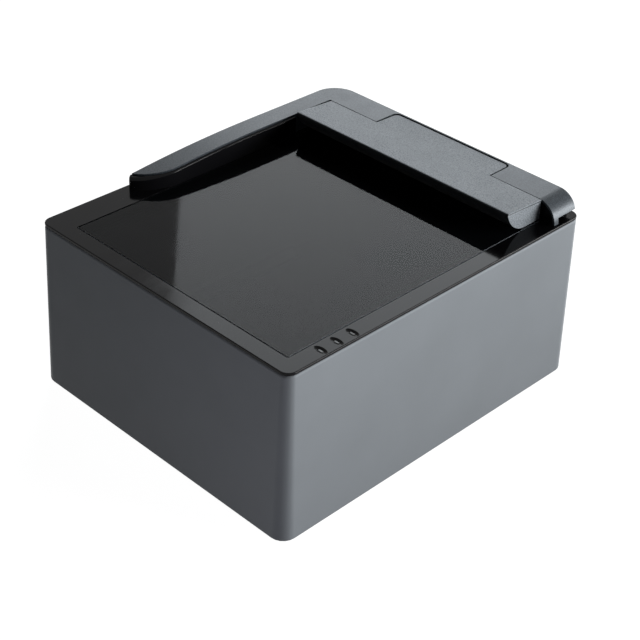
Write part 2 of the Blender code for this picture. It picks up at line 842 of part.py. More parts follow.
# Top cover: a glossy plate with the window's rebate, dimples, and the guide's fence
fence_groove = 0.4 * mm          # between the fence and the arm
fence_drop = 0.9 * mm            # how far its rounded top lies under the arm's
fence_round_share = 0.8          # of its thickness
fence_back_thickness = 1.3 * mm
fence_end_gap = 0.6 * mm         # from the fence's end to the flap's nose
nose_stand = 5.5 * mm            # nose's plan arc, wider than the arm's sweep by this
nose_corner = 1.5 * mm
nose_drop = 0.2 * mm
nose_round = 1.6 * mm
nose_radius = sweep_radius + nose_stand
fence_face = guide_inner - fence_stand
sweep_middle = (-guide_inner - sweep_radius, -sweep_start)


def arm_top(y):
    """Height of the left arm's top at y: level at the back, then an arc down."""
    if y >= arm_level_end:
        return guide_top
    run = arm_level_end - y
    return guide_top - arm_slope_radius + sqrt(arm_slope_radius ** 2 - run ** 2)


def arm_stations(front, back):
    """Places along the left arm, close enough together for its arc."""
    start = min(arm_level_end, back)
    places = [back] if back > start else []
    return places + [start + (front - start) * i / arm_steps for i in range(arm_steps + 1)]


def side_profile(drop, low):
    """The guide seen from its side, as (y, z) points, lowered by drop."""
    front = -sweep_start - nose_radius
    curve = [(y, arm_top(y) - drop) for y in arm_stations(front, half_depth)]
    return curve + [(front, low), (half_depth, low)]


def end_profile(inset, left, low):
    """The guide seen from the front, as (x, z) points, with its round right end."""
    right = guide_end - inset
    top = guide_top - inset
    radius = end_round - inset
    return ([(left, low), (right, low)]
            + arc((right - radius, top - radius), radius, 0, pi / 2, 8) + [(left, top)])


def sweep_angle(radius, x):
    """Turn of the tip's sweep, of this radius, where it reaches x."""
    return -acos((x - sweep_middle[0]) / radius)


def fence_sections():
    """Pairs of plan points, on the fence's face and on its back, from flap to nose."""
    straight = [((-fence_face, y), (-guide_inner + fence_groove, y))
                for y in arm_stations(-sweep_start, flap_front - fence_end_gap)]
    centre = (-fence_face - nose_radius, -sweep_start)
    corner_x = -guide_side + nose_corner
    reach = nose_radius - nose_corner
    corner = (corner_x, centre[1] - sqrt(reach ** 2 - (corner_x - centre[0]) ** 2))
    meet = atan2(corner[1] - centre[1], corner[0] - centre[0])
    groove = sweep_radius + fence_groove
    before = sweep_angle(groove, corner_x)
    last = sweep_angle(groove, -guide_side)
    face = (arc(centre, nose_radius, 0, meet, 8)[1:]
            + arc(corner, nose_corner, meet, -pi, 4)[1:])
    back = (arc(sweep_middle, groove, 0, before, 8)[1:]
            + arc(sweep_middle, groove, before, last, 4)[1:])
    return straight, list(zip(face, back))


def make_fence():
    """The fence as one skin over its sections."""
    mesh = bmesh.new()
    straight, swept = fence_sections()
    rows = []
    low = cover_top - cover_edge / 2
    for i, (face, back) in enumerate(straight + swept):
        part = max(0, (i + 1 - len(straight)) / len(swept))
        top = arm_top(face[1]) - fence_drop + (fence_drop - nose_drop) * part
        run = (back[0] - face[0], back[1] - face[1])
        thick = sqrt(run[0] ** 2 + run[1] ** 2)
        radius = min(thick * fence_round_share, nose_round)
        row = [(*face, low)]
        for angle in (0, pi / 6, pi / 3, pi / 2):
            step = radius * (1 - cos(angle)) / thick
            row.append((face[0] + run[0] * step, face[1] + run[1] * step,
                        top - radius * (1 - sin(angle))))
        row += [(*back, top), (*back, low)]
        rows.append([mesh.verts.new(point) for point in row])
    skin(mesh, rows)
    return mesh


def well_outline(side, behind):
    """Plan of the well that the flap's tongue turns in, given its clearances."""
    left = -tongue_left - side
    right = tongue_right + side
    back = tongue_back + behind
    radius = tongue_corner + behind
    front = back_arm_front - wall
    return ([(left, front), (right, front)]
            + arc((right - radius, back - radius), radius, 0, pi / 2)
            + arc((left + radius, back - radius), radius, pi / 2, pi))


def dimple(place):
    mesh = bmesh.new()
    bmesh.ops.create_uvsphere(mesh, u_segments=16, v_segments=8, radius=dimple_depth)
    stretch = (dimple_length / 2 / dimple_depth, dimple_width / 2 / dimple_depth, 1)
    bmesh.ops.scale(mesh, verts=mesh.verts, vec=stretch)
    return moved(mesh, *place, cover_top)


def make_top_cover(coat):
    rings = [(case_outline(0), cover_under)]
    rings += rim(lambda inset: case_outline(-inset), cover_top, cover_round)
    rings += [(window_outline(0), cover_top),
              (window_outline(0), ledge_top),
              (window_outline(-ledge_width), ledge_top),
              (window_outline(-ledge_width), skirt_under),
              (window_outline(skirt_wall), skirt_under),
              (window_outline(skirt_wall), cover_under)]
    body = add("top_cover", loft(rings, closed=True), coat)
    fuse(body, "cover_fence", make_fence())
    front = back_arm_front + running_gap
    fuse(body, "cover_back_fence",
         along_y(end_profile(guide_rim + seat_gap, -guide_inner + fence_groove,
                             cover_top - cover_edge / 2), front, front + fence_back_thickness))
    cut(body, "cover_well", slab(well_outline(tongue_side_gap, tongue_back_gap),
                                 cover_top + well_floor, guide_top + overrun))
    cut(body, "cover_dimples", together([dimple(place) for place in indicator_places()]))
    holes = [slab(oblong(place, lens_length + 2 * lens_gap, lens_width + 2 * lens_gap),
                  cover_under - overrun, cover_top) for place in indicator_places()]
    holes += [rod(place, shank_radius + shank_gap, cover_under - overrun, cover_top + overrun, 12)
              for place in guide_screw_places()]
    cut(body, "cover_holes", together(holes))


def make_window(glass, rubber):
    pane = window_outline(-seat_gap)
    add("window_glass", loft([(pane, glass_under), (pane, glass_top - glass_chamfer),
                              (window_outline(-seat_gap - glass_chamfer), glass_top)]), glass)
    inner = window_outline(-seat_gap - seal_width)
    under = seal_top - seal_thickness
    add("window_seal", loft([(pane, under), (pane, seal_top), (inner, seal_top), (inner, under)],
                            closed=True), rubber)


# Guide frame: an L-shaped cap, open below, with ribs, bosses, the tongue's well and cheeks
frame_inner_wall = 1.5 * mm      # behind the fence
frame_rib = 1.2 * mm
frame_rib_lift = 1.5 * mm        # ribs stop this far above the frame's lower edge
frame_left_rib_shares = (0.22, 0.383, 0.792)   # along the left arm, from its sweep
frame_left_rib_step = 11.5 * mm  # out from the tongue's left side
frame_right_rib_step = 25.0 * mm


def frame_outline():
    small = guide_end_corner
    return ([(-guide_inner, back_arm_front), (guide_end, back_arm_front)]
            + arc((guide_end - small, guide_back - small), small, 0, pi / 2, 3)
            + arc((-guide_side + guide_corner, guide_back - guide_corner), guide_corner,
                  pi / 2, pi, 8)
            + arc(sweep_middle, sweep_radius, sweep_angle(sweep_radius, -guide_side), 0, 8))


def hollow_outline():
    """Plan of the frame's hollow, open at the front of the back arm."""
    left = -guide_side + guide_shell
    right = -guide_inner - frame_inner_wall
    back = guide_back - guide_shell
    far = guide_end + overrun
    radius = guide_corner - guide_shell
    step = back_arm_front + guide_shell
    return ([(left, -sweep_start), (right, -sweep_start), (right, step),
             (-guide_inner + seat_gap, step), (-guide_inner + seat_gap, back_arm_front - overrun),
             (far, back_arm_front - overrun), (far, back)]
            + arc((left + radius, back - radius), radius, pi / 2, pi, 8))


def make_guide_frame(coat):
    far = half_width + overrun
    body = add("guide_frame", slab(frame_outline(), guide_under, guide_top + overrun), coat)
    keep(body, "frame_side", along_x(side_profile(0, foot_height), -far, far))
    keep(body, "frame_end", along_y(end_profile(0, -far, foot_height), -half_depth, half_depth))
    hollow = add("frame_hollow", slab(hollow_outline(), cover_top - overrun, guide_top + overrun))
    keep(hollow, "hollow_side", along_x(side_profile(guide_shell, foot_height), -far, far))
    keep(hollow, "hollow_end",
         along_y(end_profile(guide_shell, -far, foot_height), -half_depth, half_depth))
    work(body, "DIFFERENCE", hollow)

    left = -guide_side + guide_shell
    right = -guide_inner - frame_inner_wall
    back = guide_back - guide_shell
    front = back_arm_front + running_gap + fence_back_thickness + seat_gap
    cut(body, "frame_rebate",
        along_y(end_profile(guide_rim, -guide_inner + seat_gap, cover_top - overrun),
                back_arm_front - overrun, front))
    sunk = guide_shell / 2
    low = guide_under + frame_rib_lift
    ribs = [box((left - sunk, y - frame_rib / 2, low),
                (right + sunk, y + frame_rib / 2, arm_top(y - frame_rib) - sunk))
            for y in map(along_arm, frame_left_rib_shares)]
    ribs += [box((x - frame_rib / 2, front, low),
                 (x + frame_rib / 2, back + sunk, guide_top - sunk))
             for x in (-tongue_left - frame_left_rib_step, tongue_right + frame_right_rib_step)]
    fuse(body, "frame_ribs", together(ribs))
    fuse(body, "frame_bosses",
         together([rod((x, y), guide_boss_radius, guide_under, arm_top(y) - sunk)
                   for x, y in guide_screw_places()]))
    reach = tongue_side_gap + cheek_width
    fuse(body, "frame_cheeks", box((-tongue_left - reach, front, guide_under),
                                   (tongue_right + reach, back + sunk, guide_top - sunk)))

    cut(body, "frame_well", slab(well_outline(tongue_side_gap, tongue_back_gap),
                                 cover_top + well_floor, guide_top + 2 * overrun))
    cut(body, "frame_pin_bore", pin_bar(running_gap, pin_end_room))
    holes = [rod(place, shank_radius + bite_gap, guide_under - overrun,
                 flange_under + guide_screw_length, 12) for place in guide_screw_places()]
    holes.append(box((guide_end - end_notch_leg - guide_shell, back_arm_front + end_notch_leg,
                      cover_top - overrun),
                     (guide_end + overrun, half_depth, cover_top + end_notch_height)))
    cut(body, "frame_holes", together(holes))


def pin_bar(grow, longer):
    """The hinge pin's bar, made thicker and longer by the given clearances."""
    left = -tongue_left - tongue_side_gap - pin_grip - longer
    right = tongue_right + tongue_side_gap + pin_grip + longer
    return along_x(ring((hinge_back, cover_top + hinge_above), pin_radius + grow, 16), left, right)


# Press flap: a hollow wedge-shaped bar with a round belly, and a tongue over the hinge
flap_floor_thickness = 1.5 * mm
flap_floor_lip = 1.0 * mm        # rim of the bar left round the floor plate
flap_floor_step = 1.5 * mm       # from the belly's start to the floor plate
flap_boss_radius = 2.6 * mm
flap_screw_inset = 12.2 * mm     # from the flap's ends
flap_screw_length = 6.0 * mm
spring_diameter = 4.0 * mm
spring_wire = 0.5 * mm
spring_spread = 20.0 * mm        # of each spring, left and right of the tongue's middle
spring_behind = 3.4 * mm         # behind the hinge's axis
spring_turns = 3.5
spring_turn_steps = 8
cup_depth = 1.2 * mm
flap_back = back_arm_front - flap_back_gap
flap_floor_front = flap_belly_start + flap_floor_step
flap_floor_top = cover_top + flap_under + flap_floor_thickness


def flap_top(y):
    """Height of the flap's top at y: the tongue slopes less than the bar."""
    on_bar = min(y, flap_back) - flap_front
    on_tongue = max(y - flap_back, 0)
    return (cover_top + flap_nose_height - on_bar * tan(flap_top_slope)
            - on_tongue * tan(tongue_slope))


def flap_nose(inset):
    """The bar's round belly and nose from its end, as (y, z) points, moved in."""
    low = cover_top + flap_under + inset
    knee = flap_front + (flap_lip_height - flap_under) / tan(flap_lip_lean)
    front = flap_front + inset
    belly = bend((flap_belly_start + inset / 2, low), (knee + inset, low),
                 (front, cover_top + flap_lip_height - inset), 8)
    top = flap_top(flap_front) - inset
    edge = flap_edge_round
    return belly + bend((front, top - edge), (front, top),
                        (front + edge, top - edge * tan(flap_top_slope)), 4)


def flap_hollow():
    """The bar's hollow from its end, as (y, z) points."""
    back = flap_back - flap_wall
    low = cover_top + flap_under + flap_wall
    return [(back, low)] + flap_nose(flap_wall) + [(back, flap_top(back) - flap_wall)]


def flap_side():
    """The bar and its tongue from their end, as (y, z) points."""
    end = tongue_back + overrun
    return ([(flap_back, cover_top + flap_under)] + flap_nose(0)
            + [(flap_back, flap_top(flap_back)), (end, flap_top(end)),
               (end, flap_top(end) - tongue_thickness),
               (flap_back, flap_top(flap_back) - tongue_thickness)])


def flap_plan():
    """The bar and its tongue from above."""
    radius = tongue_corner
    back = tongue_back - radius
    return ([(-flap_left, flap_front - overrun), (flap_right, flap_front - overrun),
             (flap_right, flap_back), (tongue_right, flap_back)]
            + arc((tongue_right - radius, back), radius, 0, pi / 2)
            + arc((-tongue_left + radius, back), radius, pi / 2, pi)
            + [(-tongue_left, flap_back), (-flap_left, flap_back)])


def spring_places():
    middle = (tongue_right - tongue_left) / 2
    return [(middle - spring_spread, hinge_back + spring_behind),
            (middle + spring_spread, hinge_back + spring_behind)]


def flap_screw_row():
    middle = (flap_floor_front + flap_back - flap_floor_lip) / 2
    return [(x, middle) for x in (-flap_left + flap_screw_inset, (flap_right - flap_left) / 2,
                                  flap_right - flap_screw_inset)]


def cup_mouth():
    """Underside of the tongue over the springs."""
    return flap_top(hinge_back + spring_behind) - tongue_thickness


def make_flap(coat):
    body = add("press_flap", slab(flap_plan(), cover_top, guide_top + 2 * overrun), coat)
    keep(body, "flap_side", along_x(flap_side(), -half_width, half_width))
    cut(body, "flap_hollow",
        along_x(flap_hollow(), -flap_left + flap_wall, flap_right - flap_wall))
    cut(body, "flap_mouth",
        box((-flap_left + flap_wall, flap_floor_front + flap_floor_lip, cover_top - overrun),
            (flap_right - flap_wall, flap_back - flap_wall, flap_floor_top + overrun)))
    cut(body, "flap_floor_seat",
        box((-flap_left + flap_floor_lip, flap_floor_front, cover_top - overrun),
            (flap_right - flap_floor_lip, flap_back - flap_floor_lip, flap_floor_top + seat_gap)))
    fuse(body, "flap_bosses",
         together([rod((x, y), flap_boss_radius, flap_floor_top + seat_gap,
                       flap_top(y + flap_boss_radius) - flap_wall / 2, 16)
                   for x, y in flap_screw_row()]))
    holes = [rod(place, shank_radius + bite_gap, flap_floor_top,
                 flap_floor_top + flap_screw_length, 12) for place in flap_screw_row()]
    holes += [rod(place, spring_diameter / 2 + seat_gap, cup_mouth() - overrun,
                  cup_mouth() + cup_depth) for place in spring_places()]
    cut(body, "flap_holes", together(holes))
    cut(body, "flap_pin_bore", pin_bar(running_gap, pin_end_room))


def make_flap_floor(coat, metal):
    """The plate that closes the flap from below, and its three screws."""
    lip = flap_floor_lip + seat_gap
    under = cover_top + flap_under
    plate = add("flap_floor",
                slab(rounded(-flap_left + lip, flap_right - lip, flap_floor_front + seat_gap,
                             flap_back - lip, least_corner), under, flap_floor_top), coat)
    cut(plate, "flap_floor_holes",
        together([screw_sink(place, under, flap_floor_top) for place in flap_screw_row()]))
    for i, place in enumerate(flap_screw_row()):
        make_screw("flap_screw_%d" % (i + 1), place, under, True, flap_screw_length, metal,
                   flat_head=True)


def make_hinge(metal):
    add("hinge_pin", pin_bar(0, 0), metal)
    low = cover_top + well_floor + seat_gap + spring_wire / 2
    high = cup_mouth() + cup_depth - seat_gap - spring_wire / 2
    radius = (spring_diameter - spring_wire) / 2
    count = int(spring_turns * spring_turn_steps)
    for side, place in zip(("left", "right"), spring_places()):
        data = bpy.data.curves.new("flap_spring_" + side, "CURVE")
        data.dimensions = "3D"
        data.bevel_depth = spring_wire / 2
        data.bevel_resolution = 1
        data.use_fill_caps = True
        line = data.splines.new("POLY")
        line.points.add(count)
        for i in range(count + 1):
            angle = 2 * pi * i / spring_turn_steps
            line.points[i].co = (radius * cos(angle), radius * sin(angle),
                                 (high - low) * i / count, 1.0)
        data.materials.append(metal)
        spring = bpy.data.objects.new("flap_spring_" + side, data)
        bpy.context.scene.collection.objects.link(spring)
        spring.location = (*place, low)


def hang_flap():
    """Hang the flap's pieces and their cutters on an empty at the hinge's axis."""
    pivot = bpy.data.objects.new("flap_pivot", None)
    pivot.location = (0, hinge_back, cover_top + hinge_above)
    for piece in list(bpy.data.objects):
        on_flap = piece.name.startswith(("press_flap", "flap_")) and "spring" not in piece.name
        if on_flap and piece.parent is None and piece is not pivot:
            piece.parent = pivot
            piece.matrix_parent_inverse = Matrix.Translation(-pivot.location)
    bpy.context.scene.collection.objects.link(pivot)


def main():
    clear_scene()
    grey = finish("case_grey", (0.16, 0.17, 0.18), 0.5)
    cap_grey = finish("frame_grey", (0.13, 0.14, 0.145), 0.5)
    flap_grey = finish("flap_grey", (0.15, 0.155, 0.16), 0.6)
    gloss = finish("gloss_black", (0.006, 0.006, 0.007), 0.12)
    matt = finish("matt_black", (0.01, 0.01, 0.011), 0.6)
    pane = finish("window_glass", (0.01, 0.012, 0.014), 0.03)
    rubber = finish("rubber", (0.02, 0.02, 0.02), 0.8)
    steel = finish("steel", (0.55, 0.55, 0.56), 0.3, 1.0)
    board = finish("circuit_board", (0.02, 0.12, 0.05), 0.45)
    milky = finish("milky_plastic", (0.8, 0.8, 0.78), 0.4)
    make_housing(grey)
    make_base_plate(matt)
    make_feet(rubber)
    for i, place in enumerate(base_screw_places()):
        make_screw("base_screw_%d" % (i + 1), place, foot_height, True, base_screw_length, steel,
                   flat_head=True)
    make_main_board(board, steel)
    make_sockets(steel, matt)
    make_board_parts(matt)
    make_chassis(matt, steel)
    make_antenna(board)
    make_camera(board, matt, pane)
    make_lighting(board, milky)
    make_cable(milky)
    make_top_cover(gloss)
    make_window(pane, rubber)
    make_indicators(milky, board)
    make_guide_frame(cap_grey)
    for i, place in enumerate(guide_screw_places()):
        make_screw("guide_screw_%d" % (i + 1), place, flange_under - seat_gap - pan_head_height,
                   True, guide_screw_length, steel)
    make_flap(flap_grey)
    make_flap_floor(matt, steel)
    make_hinge(steel)
    hang_flap()


main()
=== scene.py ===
import json
from math import cos, pi, radians, sin
import bpy
import bmesh
from mathutils import Matrix, Vector


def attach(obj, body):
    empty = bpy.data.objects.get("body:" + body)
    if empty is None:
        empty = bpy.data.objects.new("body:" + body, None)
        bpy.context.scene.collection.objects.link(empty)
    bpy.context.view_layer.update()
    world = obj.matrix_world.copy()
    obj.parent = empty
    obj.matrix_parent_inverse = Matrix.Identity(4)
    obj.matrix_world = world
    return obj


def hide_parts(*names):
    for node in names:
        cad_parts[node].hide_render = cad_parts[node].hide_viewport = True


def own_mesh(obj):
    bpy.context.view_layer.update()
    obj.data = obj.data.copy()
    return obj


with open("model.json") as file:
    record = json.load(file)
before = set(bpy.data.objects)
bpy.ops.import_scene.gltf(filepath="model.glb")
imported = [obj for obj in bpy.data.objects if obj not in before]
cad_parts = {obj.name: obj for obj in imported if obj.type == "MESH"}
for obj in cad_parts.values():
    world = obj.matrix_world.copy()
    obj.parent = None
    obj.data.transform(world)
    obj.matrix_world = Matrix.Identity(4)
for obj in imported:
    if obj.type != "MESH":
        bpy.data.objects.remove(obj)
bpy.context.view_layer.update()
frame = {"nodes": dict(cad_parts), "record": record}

mm = 0.001
scene = bpy.context.scene
nodes = frame["nodes"]
print("frame loaded:", len(nodes), "solids")


# the camera stands at the reader's front right corner and looks down at it
cameraSetup = {
    "place": (401.4, -419.2, 421.4),     # mm
    "turn": 43.345,                      # degrees round the reader, from its front
    "down": 34.018,
    "roll": 2.647,
    "lens": 86.69,                       # mm
    "sensor": 36.0,                      # mm, its width
    "nearest": 0.05,                     # m, of what it can see
    "farthest": 50.0,
}


def makeCamera():
    turn, down, roll = (radians(cameraSetup[k]) for k in ("turn", "down", "roll"))
    x, y, z = (c * mm for c in cameraSetup["place"])
    ahead = Vector((-sin(turn) * cos(down), cos(turn) * cos(down), -sin(down)))
    level = Vector((cos(turn), sin(turn), 0))
    rise = level.cross(ahead)
    right = cos(roll) * level + sin(roll) * rise
    up = cos(roll) * rise - sin(roll) * level
    data = bpy.data.cameras.new("readerCamera")
    data.lens = cameraSetup["lens"]
    data.sensor_width = cameraSetup["sensor"]
    data.clip_start = cameraSetup["nearest"]
    data.clip_end = cameraSetup["farthest"]
    camera = bpy.data.objects.new("readerCamera", data)
    scene.collection.objects.link(camera)
    camera.matrix_world = Matrix((
        (right.x, up.x, -ahead.x, x),
        (right.y, up.y, -ahead.y, y),
        (right.z, up.z, -ahead.z, z),
        (0, 0, 0, 1)))
    scene.camera = camera


makeCamera()
scene.view_settings.view_transform = "Standard"
print("camera ready")


# sockets of a Mix node for colours: its factor, its two colours and its result
mixFactor, mixFirst, mixSecond, mixResult = 0, 6, 7, 2


def newMaterial(name):
    material = bpy.data.materials.new(name)
    material.use_nodes = True
    tree = material.node_tree
    return material, tree, tree.nodes["Principled BSDF"]


def addNode(tree, kind, **settings):
    node = tree.nodes.new(kind)
    for key, value in settings.items():
        if key in node.inputs:
            node.inputs[key].default_value = value
        else:
            setattr(node, key, value)
    return node


def combine(tree, kind, first, second):
    # a Math node of this kind, of a value in the tree and either another one or a number
    node = addNode(tree, "ShaderNodeMath", operation=kind)
    tree.links.new(first, node.inputs[0])
    if isinstance(second, float):
        node.inputs[1].default_value = second
    else:
        tree.links.new(second, node.inputs[1])
    return node.outputs[0]


def objectCoords(tree, scale=(1, 1, 1)):
    coords = tree.nodes.new("ShaderNodeTexCoord")
    mapping = addNode(tree, "ShaderNodeMapping", Scale=scale)
    tree.links.new(coords.outputs["Object"], mapping.inputs["Vector"])
    return mapping.outputs["Vector"]


def noise(tree, where, size, detail, roughness=0.5):
    # size is the width of one blob of the noise, in mm
    node = addNode(tree, "ShaderNodeTexNoise", Scale=1 / mm / size, Detail=detail,
                   Roughness=roughness)
    tree.links.new(where, node.inputs["Vector"])
    return node.outputs["Fac"]


def cells(tree, where, size, **settings):
    # size is the distance from one cell's middle to the next, in mm
    node = addNode(tree, "ShaderNodeTexVoronoi", Scale=1 / mm / size, **settings)
    tree.links.new(where, node.inputs["Vector"])
    return node.outputs["Distance"]


def spread(tree, value, low=0, high=1, fromLow=0.3, fromHigh=0.7):
    # the middle of a noise, stretched to go from low to high
    node = addNode(tree, "ShaderNodeMapRange")
    for key, number in (("From Min", fromLow), ("From Max", fromHigh), ("To Min", low),
                        ("To Max", high)):
        node.inputs[key].default_value = number
    tree.links.new(value, node.inputs["Value"])
    return node.outputs["Result"]


def times(colour, share):
    return tuple(c * share for c in colour)


def shadeBetween(tree, factor, dark, light):
    node = addNode(tree, "ShaderNodeMix", data_type="RGBA")
    node.inputs[mixFirst].default_value = (*dark, 1)
    node.inputs[mixSecond].default_value = (*light, 1)
    tree.links.new(factor, node.inputs[mixFactor])
    return node.outputs[mixResult]


def blendTo(tree, factor, tone, other):
    node = addNode(tree, "ShaderNodeMix", data_type="RGBA")
    tree.links.new(factor, node.inputs[mixFactor])
    tree.links.new(tone, node.inputs[mixFirst])
    node.inputs[mixSecond].default_value = (*other, 1)
    return node.outputs[mixResult]


def shadeBy(tree, tone, share):
    node = addNode(tree, "ShaderNodeMix", data_type="RGBA", blend_type="MULTIPLY")
    node.inputs[mixFactor].default_value = 1.0
    tree.links.new(tone, node.inputs[mixFirst])
    tree.links.new(share, node.inputs[mixSecond])
    return node.outputs[mixResult]


def addBump(tree, shader, height, strength, depth):
    # depth is in mm
    node = addNode(tree, "ShaderNodeBump", Strength=strength, Distance=depth * mm)
    tree.links.new(height, node.inputs["Height"])
    tree.links.new(node.outputs["Normal"], shader.inputs["Normal"])


def edgeMask(tree, width):
    # 1 within this width of an edge, in mm, and 0 on flat walls
    bevel = addNode(tree, "ShaderNodeBevel", Radius=width * mm, samples=4)
    geometry = tree.nodes.new("ShaderNodeNewGeometry")
    dot = addNode(tree, "ShaderNodeVectorMath", operation="DOT_PRODUCT")
    tree.links.new(bevel.outputs["Normal"], dot.inputs[0])
    tree.links.new(geometry.outputs["Normal"], dot.inputs[1])
    return spread(tree, dot.outputs["Value"], low=1.0, high=0.0, fromLow=0.90, fromHigh=0.995)


mouldLook = {
    "cloudSize": 38.0,              # mm, of the paler and darker patches
    "sheenSize": 9.0,               # mm, of the patches of gloss
    "sheenSwing": 0.02,             # more and less rough in them
    "grainBump": 0.5,
    "rubWidth": 0.6,                # mm, of a rubbed edge
    "rubTone": 2.2,                 # times the colour, where it is rubbed
    "paintedShadeTone": 0.12,              # times the colour, painted shade on the lip below the flap's nose and in the seams on its ends
    "paintedShadeTop": 82.0,              # mm, height from which painted shade darkens the colour down to the bottom
    "tint": (0.9, 1.0, 1.1, 1),     # of its gloss
}


def mouldedPlastic(name, colour, roughness, grain, grainDepth, mottle, specular,
                   speckle=0.0, wear=0.0, under="", paintedLowShade=1.0):
    # fine spark-eroded texture with cloudy variation, speckles and rubbed edges; where asked,
    # painted shade darkens it towards the bottom and on faces marked in an attribute
    look = mouldLook
    material, tree, shader = newMaterial(name)
    where = objectCoords(tree)
    clouds = noise(tree, where, look["cloudSize"], detail=3.0)
    fine = noise(tree, where, grain, detail=3.0, roughness=0.6)
    tone = shadeBetween(tree, spread(tree, clouds), times(colour, 1 - mottle),
                        times(colour, 1 + mottle))
    if speckle:
        grains = noise(tree, where, grain, detail=2.0, roughness=0.7)
        tone = shadeBy(tree, tone, spread(tree, grains, low=1 - speckle, high=1 + speckle,
                                          fromLow=0.35, fromHigh=0.65))
    if paintedLowShade < 1:
        # painted shade: the colour darkens evenly from this height down to the bottom, standing
        # in for less light low on the sides
        height = tree.nodes.new("ShaderNodeSeparateXYZ")
        tree.links.new(where, height.inputs[0])
        tone = shadeBy(tree, tone, spread(tree, height.outputs["Z"], low=paintedLowShade, fromLow=0.0,
                                          fromHigh=look["paintedShadeTop"] * mm))
    if wear:
        rubbed = combine(tree, "MULTIPLY", edgeMask(tree, look["rubWidth"]), wear)
        tone = blendTo(tree, rubbed, tone, times(colour, look["rubTone"]))
    # painted shade: faces marked in the named attribute take a much darker colour
    if under:
        shade = addNode(tree, "ShaderNodeAttribute", attribute_name=under)
        tone = blendTo(tree, shade.outputs["Fac"], tone, times(colour, look["paintedShadeTone"]))
    tree.links.new(tone, shader.inputs["Base Color"])
    sheen = noise(tree, where, look["sheenSize"], detail=4.0)
    tree.links.new(spread(tree, sheen, low=roughness - look["sheenSwing"],
                          high=roughness + look["sheenSwing"]), shader.inputs["Roughness"])
    shader.inputs["Specular IOR Level"].default_value = specular
    shader.inputs["Specular Tint"].default_value = look["tint"]
    addBump(tree, shader, fine, look["grainBump"], grainDepth)
    return material


polishLook = {
    "wipeSize": 14.0,                   # mm, of the wipe marks
    "wipeStretch": (1, 0.35, 1),        # they run along y
    "wipeRange": (0.7, 1.5),            # times the roughness
    "rippleSize": 22.0,                 # mm
    "rippleDepth": 0.02,
    "patchSize": 45.0,                  # mm, of the paler and darker patches
    "patchRange": (0.8, 1.25),          # times the colour
    "dustSpacing": 5.5,                 # mm, from speck to speck
    "dustSize": (0.018, 0.034),         # share of the spacing, of a speck's core and rim
    "dustTone": (0.45, 0.45, 0.44),
}


def polishedPlastic(name, colour, roughness, specular, dust=0.0, coat=0.0):
    # gloss with faint wipe marks and, where asked, a few dust specks
    look = polishLook
    material, tree, shader = newMaterial(name)
    where = objectCoords(tree)
    wipes = noise(tree, objectCoords(tree, look["wipeStretch"]), look["wipeSize"], detail=5.0,
                  roughness=0.65)
    least, most = look["wipeRange"]
    tree.links.new(spread(tree, wipes, low=roughness * least, high=roughness * most),
                   shader.inputs["Roughness"])
    ripple = noise(tree, where, look["rippleSize"], detail=1.0)
    addBump(tree, shader, ripple, strength=0.15, depth=look["rippleDepth"])
    dark, light = look["patchRange"]
    tone = shadeBetween(tree, spread(tree, noise(tree, where, look["patchSize"], detail=2.0)),
                        times(colour, dark), times(colour, light))
    if dust:
        core, rim = look["dustSize"]
        specks = cells(tree, where, look["dustSpacing"])
        mask = spread(tree, specks, low=dust, high=0.0, fromLow=core, fromHigh=rim)
        tone = blendTo(tree, mask, tone, look["dustTone"])
    tree.links.new(tone, shader.inputs["Base Color"])
    shader.inputs["Specular IOR Level"].default_value = specular
    shader.inputs["Coat Weight"].default_value = coat
    return material


def platedMetal(name, colour, roughness, dullTone):
    # zinc plate with fine drawn streaks and dull patches
    material, tree, shader = newMaterial(name)
    shader.inputs["Metallic"].default_value = 1.0
    streaks = noise(tree, objectCoords(tree, (1, 1, 0.15)), size=0.4, detail=3.0)
    patches = noise(tree, objectCoords(tree), size=2.5, detail=4.0)
    tone = shadeBetween(tree, spread(tree, patches), times(colour, dullTone), colour)
    tree.links.new(tone, shader.inputs["Base Color"])
    tree.links.new(spread(tree, streaks, low=roughness - 0.08, high=roughness + 0.12),
                   shader.inputs["Roughness"])
    addBump(tree, shader, streaks, strength=0.25, depth=0.01)
    return material


def softRubber(name, colour, bloomTone):
    # dull, with a paler bloom and a fine grain
    material, tree, shader = newMaterial(name)
    where = objectCoords(tree)
    bloom = noise(tree, where, size=4.0, detail=4.0)
    tone = shadeBetween(tree, spread(tree, bloom), colour, times(colour, bloomTone))
    tree.links.new(tone, shader.inputs["Base Color"])
    tree.links.new(spread(tree, noise(tree, where, size=2.0, detail=3.0), low=0.65, high=0.9),
                   shader.inputs["Roughness"])
    shader.inputs["Specular IOR Level"].default_value = 0.3
    addBump(tree, shader, noise(tree, where, size=0.5, detail=3.0), strength=0.4, depth=0.04)
    return material


def circuitLacquer(name, mask, trace):
    # solder mask with lighter tracks
    material, tree, shader = newMaterial(name)
    where = objectCoords(tree)
    gaps = cells(tree, where, size=4.5, distance="MANHATTAN", feature="F2")
    lines = spread(tree, gaps, low=1.0, high=0.0, fromLow=0.70, fromHigh=0.74)
    tone = shadeBetween(tree, lines, mask, trace)
    tree.links.new(tone, shader.inputs["Base Color"])
    tree.links.new(spread(tree, noise(tree, where, size=6.0, detail=3.0), low=0.3, high=0.45),
                   shader.inputs["Roughness"])
    addBump(tree, shader, lines, strength=0.5, depth=0.03)
    return material


def milkyPlastic(name, colour, glow, cloudTone=0.92):
    # clouded, and light goes a little way into it
    material, tree, shader = newMaterial(name)
    where = objectCoords(tree)
    tone = shadeBetween(tree, spread(tree, noise(tree, where, size=7.0, detail=3.0)),
                        times(colour, cloudTone), colour)
    tree.links.new(tone, shader.inputs["Base Color"])
    tree.links.new(spread(tree, noise(tree, where, size=1.0, detail=3.0), low=0.3, high=0.5),
                   shader.inputs["Roughness"])
    shader.inputs["Subsurface Weight"].default_value = glow
    shader.inputs["Subsurface Scale"].default_value = 2 * mm
    addBump(tree, shader, noise(tree, where, size=0.6, detail=2.0), strength=0.2, depth=0.02)
    return material


